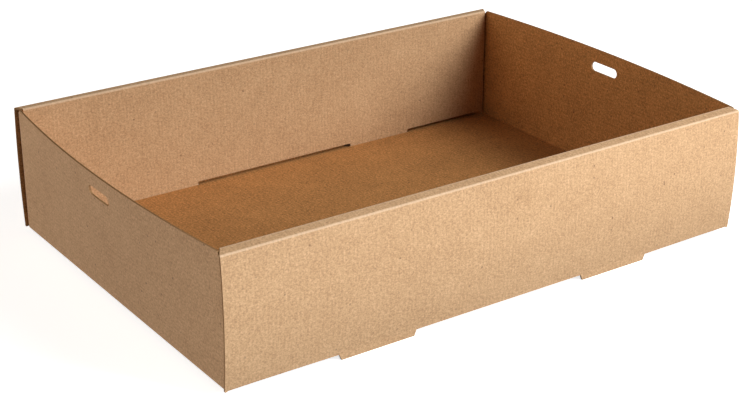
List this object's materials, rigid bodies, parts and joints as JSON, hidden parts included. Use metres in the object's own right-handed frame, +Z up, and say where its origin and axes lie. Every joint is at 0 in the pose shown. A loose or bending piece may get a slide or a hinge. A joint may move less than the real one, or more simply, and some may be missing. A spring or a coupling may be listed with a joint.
{
  "type": "cardboard tray box",
  "caption": "Open rectangular kraft corrugated tray folded from one sheet, with rolled double long walls that lock through floor slots and bowed single end walls with an oblong hole.",
  "frame": {"origin": "under the middle of the tray, on the surface that its feet stand on", "axes": "+X along the length, +Y across the width to the back wall, +Z up"},
  "size_m": [0.3734, 0.2544, 0.0826],
  "materials": {
    "kraft_board": "matt brown kraft liner"
  },
  "bodies": {
    "root": {"folded_tray": "kraft_board"}
  },
  "joints": []
}
